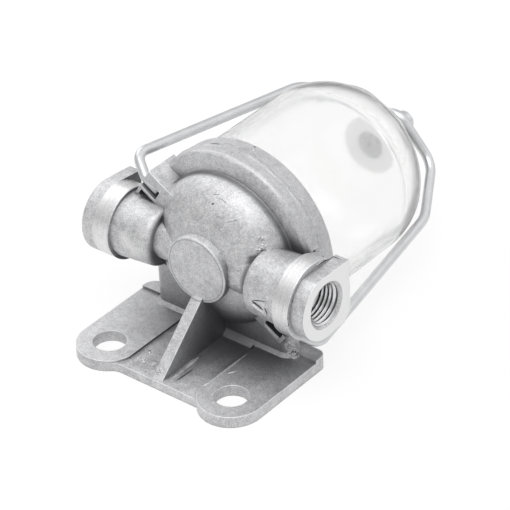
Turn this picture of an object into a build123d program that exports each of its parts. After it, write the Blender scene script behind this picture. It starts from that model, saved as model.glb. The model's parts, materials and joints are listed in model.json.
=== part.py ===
# Glass-bowl water separator for a fuel line, lying on its mounting foot.
# The origin is midway between the two bolt holes, on the underside of the foot.
# +Z is up out of the foot, +Y runs along the glass bowl towards its closed end,
# and +X points at the inlet port. Lengths are in millimetres, angles in degrees.

import os
from math import asin, cos, degrees, radians, sin, sqrt

from build123d import *

os.makedirs("parts", exist_ok=True)

# Foot
hole_spacing = 50.0
hole_d = 11.0
ear_r = 11.0
ear_t = 4.0
web_t = 3.2
web_front_y = -7.1
web_left_blend_r = 5.0
web_right_blend_r = 1.5
foot_back_y = 34.2
foot_left_corner_r = 5.0
foot_right_corner_r = 3.0
band_inner_x = 14.4
pad_t = 5.0
pad_front_y = 28.7

# Gusset and leg wall that carry the head on the foot
gusset_t = 4.0
gusset_front_y = -6.0
leg_front_y = 25.9
leg_back_y = 33.0
leg_w = 54.8
leg_edge_r = 3.0
leg_toe = 2.0
leg_knee_z = 12.0
leg_top_z = 20.0
leg_top_w = 60.2
leg_join_z = 29.0

# Head, turned about the bowl axis
axis_z = 32.7
boss_r = 11.6
boss_face_y = 15.1
boss_chamfer = 0.25
boss_root_r = 0.5
dome_depth = 15.8
dome_wall = 3.2
dome_root_r = 0.5
shoulder_y = 31.9
shoulder_w = 6.6
shoulder_round = 1.9
flange_t = 5.4
flange_proud = 0.3
skirt_wall = 1.5
skirt_end_y = 43.2
seat_y = 36.4
seat_w = 5.75

# Ports: each ends in a nose that is round in front and square behind
port_y = 23.7
port_end_x = 44.8
port_thread_d = 14.0
port_thread_len = 13.0
port_mouth_chamfer = 1.1
neck_r = 7.0
barrel_round = 2.0
collar_end_x = 39.7
inlet_barrel_x = 19.8
inlet_barrel_start_r = 11.2
inlet_barrel_end_r = 11.7
inlet_collar_x = 33.7
inlet_collar_r = 13.2
outlet_rise = 0.6
outlet_barrel_x = 18.9
outlet_barrel_start_r = 10.3
outlet_barrel_end_r = 11.3
outlet_collar_x = 33.2
outlet_collar_r = 12.5
outlet_nose_top = 11.4
outlet_nose_back = 11.9
outlet_nose_bottom = 7.0
outlet_edge_r = 1.2
nose_r = 11.7
nose_top = 10.6
nose_back = 11.5
nose_bottom = 11.3
nose_cut = 3.0
passage_r = 4.2
downpipe_r = 6.6
downpipe_end_y = 44.0

# Wire bail, in a plane through the bowl axis turned by bail_turn
bail_turn = 32.0
wire_r = 1.7
pivot_y = 26.4
hook_tip_r = 27.8
hook_bend_r = 34.4
front_bend_r = 42.1
front_bend_y = 30.4
waist_r = 30.8
waist_y = 100.8
tail_r = 17.45
tail_y = 120.6
eye_y = 116.2
eye_gap = 0.3
eye_coil_gap = 0.15
eye_steps = 6

# Lugs for the bail's hooks, with a recess on the side of the port and one on the far side
lug_inner_r = 20.5
lug_proud = 0.7
lug_port_w = 7.0
lug_left_w = 5.5
lug_right_w = 6.3
lug_front_y = 24.2
lug_back_gap = 0.6
slot_gap = 0.05
slot_side_gap = 0.35
slot_end_gap = 1.1
recess_inner_r = 25.6
recess_wall = 1.1
recess_far_wall = 2.0
recess_depth = 4.8

# Gasket, strainer and bowl
gasket_t = 2.4
gasket_w = 6.5
bowl_r = 30.75
bowl_gap = 0.35
bowl_wall = 3.4
bowl_end_y = 106.9
bowl_end_t = 5.0
bowl_crown_r = 70.0
bowl_knuckle_r = 20.0
strainer_gap = 0.05
strainer_rim_w = 2.2
strainer_rim_t = 2.0
strainer_hub_w = 1.8
strainer_hub_t = 3.6
spoke_count = 6
spoke_w = 1.6
spoke_t = 1.0
gauze_t = 0.5

# Clamp
stud_d = 7.0
stud_end_y = 126.6
stud_chamfer = 0.6
cup_r = 10.5
cup_t = 1.4
cup_gap = 0.4
cup_rim_w = 1.4
cup_rim_h = 1.2
nut_r = 8.5
nut_t = 3.8
nut_gap = 0.15
nut_clearance = 0.05
nut_edge = 0.5
knurl_count = 30
knurl_r = 0.55

# Values that follow from the ones above
foot_half_w = hole_spacing / 2 + ear_r
step_y = shoulder_y + flange_t
ledge_y = seat_y - strainer_rim_t
rim_y = seat_y + gasket_t
skirt_bore_r = bowl_r + bowl_gap
skirt_r = skirt_bore_r + skirt_wall
flange_r = skirt_r + flange_proud
dome_r = flange_r - shoulder_w
throat_r = bowl_r - seat_w
lug_outer_r = flange_r + lug_proud
recess_outer_r = lug_outer_r - recess_wall
stud_r = stud_d / 2
eye_r = stud_r + eye_gap + wire_r
bowl_axis = Axis((0, 0, axis_z), (0, 1, 0))

# The same values of both ports, by side: the inlet is on side 1, the outlet on side -1
port_z = {1: axis_z, -1: axis_z + outlet_rise}
barrel_x = {1: inlet_barrel_x, -1: outlet_barrel_x}
barrel_start_r = {1: inlet_barrel_start_r, -1: outlet_barrel_start_r}
barrel_end_r = {1: inlet_barrel_end_r, -1: outlet_barrel_end_r}
collar_x = {1: inlet_collar_x, -1: outlet_collar_x}
collar_r = {1: inlet_collar_r, -1: outlet_collar_r}

# The bail's plane, and the sketch plane that runs along and out from the bowl axis
bail_out = Vector(cos(radians(bail_turn)), 0, -sin(radians(bail_turn)))
bail_up = Vector(sin(radians(bail_turn)), 0, cos(radians(bail_turn)))
bail_plane = Plane(origin=(0, 0, axis_z), x_dir=bail_out, z_dir=bail_up)
along_bowl = Plane(origin=(0, 0, axis_z), x_dir=(0, 1, 0), z_dir=(1, 0, 0))


def save(piece, name):
    """Labels a finished piece and writes its STEP file."""
    piece.part.label = name
    export_step(piece.part, "parts/" + name + ".step")


def face_plane(y):
    """Gives the plane across the bowl axis at y; a positive extrusion runs along +Y."""
    return Plane(origin=(0, y, axis_z), x_dir=(-1, 0, 0), z_dir=(0, 1, 0))


def port_plane(side):
    """Gives the plane along one port's axis: x runs out of the port, y runs up."""
    return Plane(
        origin=(0, port_y, port_z[side]), x_dir=(side, 0, 0), z_dir=(0, -side, 0)
    )


def port_axis(side):
    """Gives the axis that one port is turned and bored about."""
    return Axis((0, port_y, port_z[side]), (1, 0, 0))


def lug_plane(side):
    """Gives one lug's plane: x runs out from the bowl axis, y along it, z towards the port."""
    return Plane(
        origin=(0, 0, axis_z), x_dir=bail_out * side, z_dir=bail_up * side
    )


def lug_box(side, inner_r, outer_r, front_y, back_y, far, near, mode):
    """Adds or cuts a box on a lug, from far to near measured off the bail's plane."""
    with BuildSketch(lug_plane(side).offset(far)) as outline:
        with Locations((inner_r, front_y)):
            Rectangle(
                outer_r - inner_r, back_y - front_y, align=(Align.MIN, Align.MIN)
            )
    extrude(outline.sketch, amount=near - far, mode=mode)


def dished_end(y_pole, wall_r, crown_r, knuckle_r):
    """Draws a dished end in the open line, from its pole over crown and knuckle to the wall."""
    side = wall_r - knuckle_r
    reach = crown_r - knuckle_r
    turn = degrees(asin(side / reach))
    y_centre = y_pole - crown_r
    y_knuckle = y_centre + sqrt(reach**2 - side**2)
    CenterArc((y_centre, 0), crown_r, 0, turn)
    CenterArc((y_knuckle, side), knuckle_r, turn, 90 - turn)
    return y_knuckle


# Head casting: foot, gusset, leg wall, dome with flange and skirt, two ports and two bail lugs
boss_turn = degrees(asin(boss_r / dome_r))
boss_root_y = shoulder_y - dome_depth * cos(radians(boss_turn))
leg_depth = leg_back_y - leg_front_y
slot_half_w = wire_r + slot_side_gap
slot_floor_y = pivot_y + wire_r + slot_gap

with BuildPart() as head_casting:
    # The web's outline takes in the ears; the bands, ears and raised end stand up from it
    with BuildSketch() as web_outline:
        with Locations((0, foot_back_y / 2)):
            Rectangle(2 * foot_half_w, foot_back_y)
        with Locations((0, web_front_y / 2)):
            Rectangle(hole_spacing, -web_front_y)
        with GridLocations(hole_spacing, 1, 2, 1):
            Circle(ear_r)
        blend_x = hole_spacing / 2 - sqrt(ear_r**2 - web_front_y**2)
        corners = web_outline.vertices()
        fillet(corners.sort_by_distance((-blend_x, web_front_y))[0], web_left_blend_r)
        fillet(corners.sort_by_distance((blend_x, web_front_y))[0], web_right_blend_r)
    extrude(amount=web_t)
    with BuildSketch():
        with Locations((0, foot_back_y / 2)):
            Rectangle(2 * foot_half_w, foot_back_y)
        with GridLocations(hole_spacing, 1, 2, 1):
            Circle(ear_r)
        Rectangle(2 * band_inner_x, 4 * foot_back_y, mode=Mode.SUBTRACT)
    extrude(amount=ear_t)
    with BuildSketch():
        with Locations((0, (pad_front_y + foot_back_y) / 2)):
            Rectangle(2 * foot_half_w, foot_back_y - pad_front_y)
    extrude(amount=pad_t)
    uprights = head_casting.edges().filter_by(Axis.Z)
    back_uprights = uprights.group_by(Axis.Y)[-1].sort_by(Axis.X)
    fillet(back_uprights[0], foot_left_corner_r)
    fillet(back_uprights[-1], foot_right_corner_r)

    # Solid of revolution: boss, dome, flange and skirt
    with BuildSketch(along_bowl) as head_profile:
        with BuildLine():
            Polyline(
                (skirt_end_y, 0),
                (boss_face_y, 0),
                (boss_face_y, boss_r - boss_chamfer),
                (boss_face_y + boss_chamfer, boss_r),
                (boss_root_y, boss_r),
            )
            EllipticalCenterArc(
                (shoulder_y, 0), dome_depth, dome_r, 90, arc_size=90 - boss_turn
            )
            Line((shoulder_y, dome_r), (shoulder_y, flange_r - shoulder_round))
            CenterArc(
                (shoulder_y + shoulder_round, flange_r - shoulder_round),
                shoulder_round,
                180,
                -90,
            )
            Polyline(
                (shoulder_y + shoulder_round, flange_r),
                (step_y, flange_r),
                (step_y + flange_proud, skirt_r),
                (skirt_end_y, skirt_r),
                (skirt_end_y, 0),
            )
        make_face()
        corners = head_profile.vertices()
        fillet(corners.sort_by_distance((shoulder_y, dome_r))[0], dome_root_r)
        fillet(corners.sort_by_distance((boss_root_y, boss_r))[0], boss_root_r)
    revolve(axis=bowl_axis)

    # Gusset under the boss
    with BuildSketch(Plane.YZ):
        with BuildLine():
            Polyline(
                (gusset_front_y, 0),
                (shoulder_y, 0),
                (shoulder_y, axis_z),
                (boss_face_y + boss_chamfer, axis_z - boss_r + gusset_t / 2),
                (gusset_front_y, web_t),
                close=True,
            )
        make_face()
    extrude(amount=gusset_t / 2, both=True)

    # Leg wall across the foot, widening under the ports, with a sloping toe round its base
    with BuildSketch():
        with Locations((0, (leg_front_y + leg_back_y) / 2)):
            RectangleRounded(leg_w, leg_depth, leg_edge_r)
    extrude(amount=leg_top_z)
    with BuildSketch(Plane.XZ.offset(-leg_back_y)):
        with BuildLine():
            Polyline(
                (-leg_w / 2, leg_knee_z),
                (leg_w / 2, leg_knee_z),
                (leg_top_w / 2, leg_top_z),
                (leg_top_w / 2, leg_join_z),
                (-leg_top_w / 2, leg_join_z),
                (-leg_top_w / 2, leg_top_z),
                close=True,
            )
        make_face()
    extrude(amount=leg_depth - leg_edge_r)
    with BuildSketch(Plane.XY.offset(web_t)):
        with Locations((0, (leg_front_y + leg_back_y) / 2)):
            RectangleRounded(leg_w + 2 * leg_toe, leg_depth + 2 * leg_toe, leg_edge_r + leg_toe)
    extrude(amount=leg_toe, taper=45)

    # Ports: neck, barrel and collar are turned
    for side in (1, -1):
        round_x = barrel_x[side] + barrel_round
        round_r = barrel_start_r[side] - barrel_round
        with BuildSketch(port_plane(side)):
            with BuildLine():
                Polyline(
                    (collar_end_x, 0),
                    (0, 0),
                    (0, neck_r),
                    (barrel_x[side], neck_r),
                    (barrel_x[side], round_r),
                )
                CenterArc((round_x, round_r), barrel_round, 180, -90)
                Polyline(
                    (round_x, barrel_start_r[side]),
                    (collar_x[side], barrel_end_r[side]),
                    (collar_x[side], collar_r[side]),
                    (collar_end_x, collar_r[side]),
                    (collar_end_x, 0),
                )
            make_face()
        revolve(axis=port_axis(side))

    # Inlet's nose, a rounded square with a flat top
    with BuildSketch(Plane.YZ.offset(collar_end_x)):
        with Locations((port_y, axis_z)):
            Circle(nose_r)
        with Locations((port_y, axis_z - nose_bottom)):
            Rectangle(
                nose_back,
                nose_top + nose_bottom,
                align=(Align.MIN, Align.MIN),
            )
        with Locations((port_y, axis_z + nose_top)):
            Rectangle(
                4 * nose_r,
                nose_r,
                align=(Align.CENTER, Align.MIN),
                mode=Mode.SUBTRACT,
            )
        with Locations((port_y + nose_back, axis_z - nose_bottom)):
            Rectangle(
                nose_cut * sqrt(2),
                nose_cut * sqrt(2),
                rotation=45,
                mode=Mode.SUBTRACT,
            )
    extrude(amount=port_end_x - collar_end_x)

    # Outlet's nose bulges up to its square corner and has a rounded end edge
    with BuildSketch(Plane.YZ.offset(-collar_end_x)) as outlet_nose:
        with Locations((port_y, port_z[-1])):
            Circle(outlet_collar_r)
        with Locations((port_y, port_z[-1] - outlet_nose_bottom)):
            Rectangle(
                outlet_nose_back,
                outlet_nose_top + outlet_nose_bottom,
                align=(Align.MIN, Align.MIN),
            )
        make_hull()
        back_corners = outlet_nose.vertices().group_by(Axis.Y)[-1]
        fillet(back_corners, outlet_edge_r)
    extrude(amount=collar_end_x - port_end_x)
    outlet_face = head_casting.faces().sort_by(Axis.X)[0]
    fillet(outlet_face.edges(), outlet_edge_r)

    # Lugs on the flange; each has a recess beside its port
    lug_far_w = {1: lug_right_w, -1: lug_left_w}
    lug_back_y = step_y - lug_back_gap
    for side in (1, -1):
        lug_box(
            side,
            lug_inner_r,
            lug_outer_r,
            lug_front_y,
            lug_back_y,
            -lug_far_w[side],
            lug_port_w,
            Mode.ADD,
        )

    # Inside: cavity under the dome, ledge for the strainer, and the bowl's recess
    with BuildSketch(along_bowl):
        with BuildLine():
            Line((skirt_end_y, 0), (shoulder_y - dome_depth + dome_wall, 0))
            EllipticalCenterArc(
                (shoulder_y, 0),
                dome_depth - dome_wall,
                dome_r - dome_wall,
                90,
                arc_size=90,
            )
            Polyline(
                (shoulder_y, dome_r - dome_wall),
                (ledge_y, dome_r - dome_wall),
                (ledge_y, throat_r),
                (seat_y, throat_r),
                (seat_y, skirt_bore_r),
                (skirt_end_y, skirt_bore_r),
                (skirt_end_y, 0),
            )
        make_face()
    revolve(axis=bowl_axis, mode=Mode.SUBTRACT)

    # Downpipe from the inlet, through the strainer's hub into the bowl
    with BuildSketch(face_plane(boss_face_y + dome_wall)):
        Circle(downpipe_r)
    extrude(amount=downpipe_end_y - boss_face_y - dome_wall)
    with BuildSketch(Plane.YZ):
        with Locations((port_y, axis_z)):
            Circle(downpipe_r)
    extrude(amount=dome_r - dome_wall)
    with BuildSketch(face_plane(port_y)):
        Circle(passage_r)
    extrude(amount=downpipe_end_y - port_y, mode=Mode.SUBTRACT)

    # Port bores: passage, thread hole and mouth chamfer
    thread_r = port_thread_d / 2
    thread_end_x = port_end_x - port_thread_len
    passage_end_x = {1: 0.0, -1: neck_r}
    for side in (1, -1):
        with BuildSketch(port_plane(side)):
            with BuildLine():
                Polyline(
                    (passage_end_x[side], 0),
                    (passage_end_x[side], passage_r),
                    (thread_end_x - (thread_r - passage_r) / 2, passage_r),
                    (thread_end_x, thread_r),
                    (port_end_x - port_mouth_chamfer, thread_r),
                    (port_end_x, thread_r + port_mouth_chamfer),
                    (port_end_x, 0),
                    close=True,
                )
            make_face()
        revolve(axis=port_axis(side), mode=Mode.SUBTRACT)

    # Hook slots and lug recesses, open to the front, then the bolt holes and the flange's flat
    recess_floor_y = lug_front_y + recess_depth
    port_recess = (slot_half_w + recess_wall, lug_port_w - recess_wall)
    far_recess = (recess_far_wall - lug_right_w, 0)
    for side in (1, -1):
        lug_box(
            side,
            hook_tip_r - slot_end_gap,
            2 * lug_outer_r,
            lug_front_y,
            slot_floor_y,
            -slot_half_w,
            slot_half_w,
            Mode.SUBTRACT,
        )
        lug_box(
            side,
            recess_inner_r,
            recess_outer_r,
            lug_front_y,
            recess_floor_y,
            *port_recess,
            Mode.SUBTRACT,
        )
    lug_box(
        1,
        recess_inner_r,
        recess_outer_r,
        lug_front_y,
        recess_floor_y,
        *far_recess,
        Mode.SUBTRACT,
    )
    with GridLocations(hole_spacing, 1, 2, 1):
        Hole(hole_d / 2)
    with Locations((0, shoulder_y, 0)):
        Box(
            2 * foot_half_w,
            2 * shoulder_y,
            axis_z,
            align=(Align.CENTER, Align.CENTER, Align.MAX),
            mode=Mode.SUBTRACT,
        )
save(head_casting, "head_casting")

# Gasket between the head and the rim of the bowl; it also holds the strainer's rim down
with BuildPart() as bowl_gasket:
    with BuildSketch(face_plane(seat_y)):
        Circle(bowl_r)
        Circle(bowl_r - gasket_w, mode=Mode.SUBTRACT)
    extrude(amount=gasket_t)
save(bowl_gasket, "bowl_gasket")

# Strainer: a rim on the head's ledge and a hub on the downpipe, joined by spokes
rim_r = throat_r - strainer_gap
rim_inner_r = rim_r - strainer_rim_w
hub_r = downpipe_r + strainer_gap
hub_outer_r = hub_r + strainer_hub_w
with BuildPart() as strainer_frame:
    with BuildSketch(face_plane(ledge_y)):
        Circle(rim_r)
        Circle(rim_inner_r, mode=Mode.SUBTRACT)
    extrude(amount=strainer_rim_t)
    with BuildSketch(face_plane(ledge_y)):
        with PolarLocations((rim_inner_r + hub_outer_r) / 2, spoke_count):
            Rectangle(rim_inner_r - hub_outer_r + 2 * spoke_w, spoke_w)
        Circle(hub_r + strainer_hub_w / 2, mode=Mode.SUBTRACT)
    extrude(amount=spoke_t)
    with BuildSketch(face_plane(ledge_y + (spoke_t - strainer_hub_t) / 2)):
        Circle(hub_outer_r)
    extrude(amount=strainer_hub_t)
    with BuildSketch(face_plane(ledge_y - strainer_hub_t)):
        Circle(hub_r)
    extrude(amount=2 * strainer_hub_t + spoke_t, mode=Mode.SUBTRACT)
save(strainer_frame, "strainer_frame")

# Gauze disc on the spokes, on the bowl's side
with BuildPart() as strainer_gauze:
    with BuildSketch(face_plane(ledge_y + spoke_t)):
        Circle(rim_inner_r)
        Circle(hub_outer_r, mode=Mode.SUBTRACT)
    extrude(amount=gauze_t)
save(strainer_gauze, "strainer_gauze")

# Glass bowl with a dished end
with BuildPart() as glass_bowl:
    with BuildSketch(along_bowl):
        with BuildLine():
            Line((bowl_end_y - bowl_end_t, 0), (bowl_end_y, 0))
            wall_y = dished_end(bowl_end_y, bowl_r, bowl_crown_r, bowl_knuckle_r)
            Polyline(
                (wall_y, bowl_r),
                (rim_y, bowl_r),
                (rim_y, bowl_r - bowl_wall),
            )
            inner_wall_y = dished_end(
                bowl_end_y - bowl_end_t,
                bowl_r - bowl_wall,
                bowl_crown_r,
                bowl_knuckle_r - bowl_wall,
            )
            Line((rim_y, bowl_r - bowl_wall), (inner_wall_y, bowl_r - bowl_wall))
        make_face()
    revolve(axis=bowl_axis)
save(glass_bowl, "glass_bowl")

# Bail: one wire from hook to hook, with a full turn round the clamp stud
eye_lead = degrees(asin(eye_r / tail_r))
eye_wrap = 360 + 2 * eye_lead
eye_step = eye_wrap / eye_steps
eye_corner_r = eye_r / cos(radians(eye_step / 2))
eye_rise = (2 * wire_r + eye_coil_gap) * eye_wrap / 360


def bail_point(out, along, up=0.0):
    """Gives a point of the bail from its distance out of the axis, along it and off the bail's plane."""
    return bail_plane.from_local_coords(Vector(out, along, up))


eye_points = []
for step in range(eye_steps):
    turned = radians(90 + eye_lead - (step + 0.5) * eye_step)
    rise = eye_rise * (step + 0.5) / eye_steps
    eye_points.append(
        bail_point(
            eye_corner_r * cos(turned), eye_y + rise, eye_corner_r * sin(turned)
        )
    )
leg_sides = (
    (hook_tip_r, pivot_y),
    (hook_bend_r, pivot_y),
    (front_bend_r, front_bend_y),
    (waist_r, waist_y),
    (tail_r, tail_y),
)
bail_route = [bail_point(-out, along) for out, along in leg_sides]
bail_route += eye_points
bail_route += [bail_point(out, along) for out, along in reversed(leg_sides)]
leg_bends = [2.6, 3.4, 14.0, 8.0]
eye_bends = [0.9 * eye_r] * eye_steps

with BuildPart() as bail_wire:
    with BuildLine() as bail_path:
        FilletPolyline(
            *bail_route, radius=leg_bends + eye_bends + list(reversed(leg_bends))
        )
    with BuildSketch(
        Plane(origin=bail_route[0], x_dir=(0, 1, 0), z_dir=bail_out)
    ):
        Circle(wire_r)
    sweep(path=bail_path.wires()[0])
save(bail_wire, "bail_wire")

# Clamp stud on the bowl axis; its foot is riveted into the cup
crown_y = bowl_end_y - bowl_crown_r
cup_front_r = bowl_crown_r + cup_gap
cup_back_r = cup_front_r + cup_t
rivet_turn = degrees(asin(stud_r / cup_front_r))
with BuildPart() as clamp_stud:
    with BuildSketch(along_bowl):
        with BuildLine():
            CenterArc((crown_y, 0), cup_front_r, 0, rivet_turn)
            Polyline(
                (crown_y + cup_front_r * cos(radians(rivet_turn)), stud_r),
                (stud_end_y - stud_chamfer, stud_r),
                (stud_end_y, stud_r - stud_chamfer),
                (stud_end_y, 0),
                (crown_y + cup_front_r, 0),
            )
        make_face()
    revolve(axis=bowl_axis)
save(clamp_stud, "clamp_stud")

# Pressure cup: a dished disc as round as the bowl's end, with a rim turned back
cup_turn = degrees(asin(cup_r / cup_front_r))
dish_r = cup_r - cup_rim_w
dish_turn = degrees(asin(dish_r / cup_back_r))
hole_turn = degrees(asin(stud_r / cup_back_r))
cup_edge_y = crown_y + cup_front_r * cos(radians(cup_turn))
dish_edge_y = crown_y + cup_back_r * cos(radians(dish_turn))
with BuildPart() as pressure_cup:
    with BuildSketch(along_bowl):
        with BuildLine():
            CenterArc((crown_y, 0), cup_front_r, rivet_turn, cup_turn - rivet_turn)
            Polyline(
                (cup_edge_y, cup_r),
                (dish_edge_y + cup_rim_h, cup_r),
                (dish_edge_y + cup_rim_h, dish_r),
                (dish_edge_y, dish_r),
            )
            CenterArc((crown_y, 0), cup_back_r, hole_turn, dish_turn - hole_turn)
            Line(
                (crown_y + cup_front_r * cos(radians(rivet_turn)), stud_r),
                (crown_y + cup_back_r * cos(radians(hole_turn)), stud_r),
            )
        make_face()
    revolve(axis=bowl_axis)
save(pressure_cup, "pressure_cup")

# Knurled nut on the stud, bearing on the bail's eye
nut_back_y = eye_y - wire_r - nut_gap
with BuildPart() as thumb_nut:
    with BuildSketch(face_plane(nut_back_y - nut_t)):
        Circle(nut_r)
    extrude(amount=nut_t)
    chamfer(thumb_nut.edges().filter_by(GeomType.CIRCLE), nut_edge)
    with BuildSketch(face_plane(nut_back_y - nut_t)):
        Circle(stud_r + nut_clearance)
        with PolarLocations(nut_r, knurl_count):
            Circle(knurl_r)
    extrude(amount=nut_t, mode=Mode.SUBTRACT)
save(thumb_nut, "thumb_nut")
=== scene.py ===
# %% [markdown]
# # Dressing a fuel water separator
#
# The part is a die-cast head on a mounting foot, with a clear bowl held against it by a wire
# bail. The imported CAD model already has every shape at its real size. This script gives each
# piece the finish that the real one has, adds the details that are too fine for the CAD model,
# and sets up the studio. Blender works in metres here, so sizes are written in millimetres times
# MM.

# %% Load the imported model
import json
from math import asin, cos, pi, radians, sin, tan

import bmesh
import bpy
from mathutils import Matrix, Vector, noise
from mathutils.bvhtree import BVHTree


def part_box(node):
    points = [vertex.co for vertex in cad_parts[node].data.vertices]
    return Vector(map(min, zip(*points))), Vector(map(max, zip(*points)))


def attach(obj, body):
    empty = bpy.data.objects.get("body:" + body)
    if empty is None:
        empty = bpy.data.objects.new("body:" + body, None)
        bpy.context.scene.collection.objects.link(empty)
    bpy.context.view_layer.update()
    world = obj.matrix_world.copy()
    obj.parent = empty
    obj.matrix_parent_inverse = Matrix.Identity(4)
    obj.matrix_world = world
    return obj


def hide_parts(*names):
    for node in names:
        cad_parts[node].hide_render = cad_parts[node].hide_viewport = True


MM = 0.001

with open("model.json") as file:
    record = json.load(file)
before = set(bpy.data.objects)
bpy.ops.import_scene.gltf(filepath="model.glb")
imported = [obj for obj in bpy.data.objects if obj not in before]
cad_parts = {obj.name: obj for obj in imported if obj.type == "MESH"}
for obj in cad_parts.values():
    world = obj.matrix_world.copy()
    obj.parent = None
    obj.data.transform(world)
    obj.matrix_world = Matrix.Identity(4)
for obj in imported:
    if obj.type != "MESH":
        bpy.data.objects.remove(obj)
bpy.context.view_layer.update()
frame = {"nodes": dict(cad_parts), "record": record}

# %% [markdown]
# ## Places taken from the record
#
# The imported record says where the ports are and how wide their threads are. Reading that from it
# means that nothing here has to be measured twice.

# %% Ports and bowl axis
mounts = {mount["name"]: mount for mount in frame["record"]["mounts"]}
inlet_centre = Vector(mounts["inlet_port"]["pos_m"])
outlet_centre = Vector(mounts["outlet_port"]["pos_m"])
thread_r = mounts["inlet_port"]["dims"]["r_mm"] * MM
axis_z = inlet_centre.z
port_end_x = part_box("head_casting")[1].x
print("bowl axis at z", round(axis_z / MM, 2), "ports end at x", round(port_end_x / MM, 2))

# %% [markdown]
# ## The camera
#
# The photograph looks down on the front right corner through a long lens. The numbers below come
# from fitting a camera to measured points of the part: bolt holes, port, boss, flange and bowl.

# %% Camera
VIEW_AZIMUTH = radians(40.11)
VIEW_ELEVATION = radians(33.95)
VIEW_ROLL = radians(-2.58)
VIEW_PLACE = Vector((455.09, -496.28, 498.19)) * MM
FOCAL_LENGTH = 187.39
SENSOR_WIDTH = 36.0


def aim(azimuth, elevation, roll):
    """Gives the camera's axes as a matrix, from the direction in which it stands."""
    back = Vector(
        (
            sin(azimuth) * cos(elevation),
            -cos(azimuth) * cos(elevation),
            sin(elevation),
        )
    )
    level = (-back).cross(Vector((0, 0, 1))).normalized()
    rise = level.cross(-back)
    right = level * cos(roll) + rise * sin(roll)
    up = rise * cos(roll) - level * sin(roll)
    return Matrix((right, up, back)).transposed()


camera_axes = aim(VIEW_AZIMUTH, VIEW_ELEVATION, VIEW_ROLL)
camera_data = bpy.data.cameras.new("camera")
camera_data.lens = FOCAL_LENGTH
camera_data.sensor_width = SENSOR_WIDTH
camera_data.clip_start = 0.01
camera = bpy.data.objects.new("camera", camera_data)
camera.matrix_world = Matrix.Translation(VIEW_PLACE) @ camera_axes.to_4x4()
bpy.context.scene.collection.objects.link(camera)
bpy.context.scene.camera = camera
print("camera at", [round(v / MM) for v in VIEW_PLACE], "mm from the origin")

# %% [markdown]
# ## Finding a mark of the photograph on the casting
#
# Small marks, such as a pit or a burr, are easiest to place where they show in the picture. A ray
# sent through that pixel meets the casting's surface, so the mark sits on the metal from every
# side.

# %% From a pixel to the casting's surface
PHOTO_SIZE = 510
PIXEL_FOCAL = PHOTO_SIZE * FOCAL_LENGTH / SENSOR_WIDTH
BOSS_PIXEL = (200.0, 268.0)

casting = frame["nodes"]["head_casting"]
casting_skin = BVHTree.FromPolygons(
    [corner.co for corner in casting.data.vertices],
    [face.vertices for face in casting.data.polygons],
)


def on_casting(px, py):
    """Gives the casting's point that shows at a pixel of the photograph, and its normal."""
    ray = camera_axes @ Vector(
        (px - PHOTO_SIZE / 2, PHOTO_SIZE / 2 - py, -PIXEL_FOCAL)
    )
    point, normal, _, _ = casting_skin.ray_cast(VIEW_PLACE, ray.normalized())
    if point is None:
        raise ValueError(f"pixel {px}, {py} misses the casting")
    return point, normal


print("boss seen at", [round(v / MM, 1) for v in on_casting(*BOSS_PIXEL)[0]])

# %% [markdown]
# ## Helpers for materials
#
# Colours are written as sRGB hex values, as a colour picker shows them. Blender's shaders work in
# linear light, so one function converts them. Another adds a node with its settings and links and
# gives its output, which the next node then takes, and a third starts a material. A mark that
# fades in round some points of the surface, a stripe across it and the distance from an axis each
# take several nodes, and each is used more than once, so they have functions too.


# %% Colour and node helpers
def linear(hex_colour):
    """Turns an sRGB hex value into linear red, green, blue and alpha."""
    channels = [int(hex_colour[i : i + 2], 16) / 255 for i in (1, 3, 5)]
    return [
        c / 12.92 if c <= 0.04045 else ((c + 0.055) / 1.055) ** 2.4 for c in channels
    ] + [1.0]


def add(tree, kind, settings=None, links=None, out=0):
    """Adds a node and gives one output; settings and links go by the names of its inputs."""
    node = tree.nodes.new("ShaderNode" + kind)
    for name, value in (settings or {}).items():
        if isinstance(name, str) and hasattr(node, name):
            setattr(node, name, value)
        else:
            node.inputs[name].default_value = value
    for name, output in (links or {}).items():
        tree.links.new(output, node.inputs[name])
    return node.outputs[out]


def new_finish(name):
    """Starts a material; gives it with its node tree and its Principled shader."""
    finish = bpy.data.materials.new(name)
    finish.use_nodes = True
    print("new finish:", name)
    return finish, finish.node_tree, finish.node_tree.nodes["Principled BSDF"]


# %% Mask helpers
def marks_near(tree, place, points, core, reach):
    """Gives 1 within core of any of the points and 0 beyond reach."""
    total = None
    for point in points:
        away = add(
            tree,
            "VectorMath",
            {"operation": "DISTANCE", 1: tuple(point)},
            {0: place},
            out="Value",
        )
        mark = add(
            tree, "MapRange", {"From Min": reach, "From Max": core}, {"Value": away}
        )
        if total is None:
            total = mark
        else:
            total = add(
                tree, "Math", {"operation": "MAXIMUM"}, {0: total, 1: mark}
            )
    return total


def between(tree, value, edges):
    """Gives 1 between the middle two of four edges, and fades to 0 at the outer two."""
    start, full, falling, end = edges
    after = add(
        tree, "MapRange", {"From Min": start, "From Max": full}, {"Value": value}
    )
    before = add(
        tree, "MapRange", {"From Min": end, "From Max": falling}, {"Value": value}
    )
    return add(tree, "Math", {"operation": "MULTIPLY"}, {0: after, 1: before})


def distance_from(tree, place, shift, across):
    """Gives the distance from an axis, which shift moves to the origin and across flattens."""
    from_axis = add(
        tree, "Mapping", {"Location": shift, "Scale": across}, {"Vector": place}
    )
    return add(tree, "VectorMath", {"operation": "LENGTH"}, {0: from_axis}, out="Value")


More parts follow.
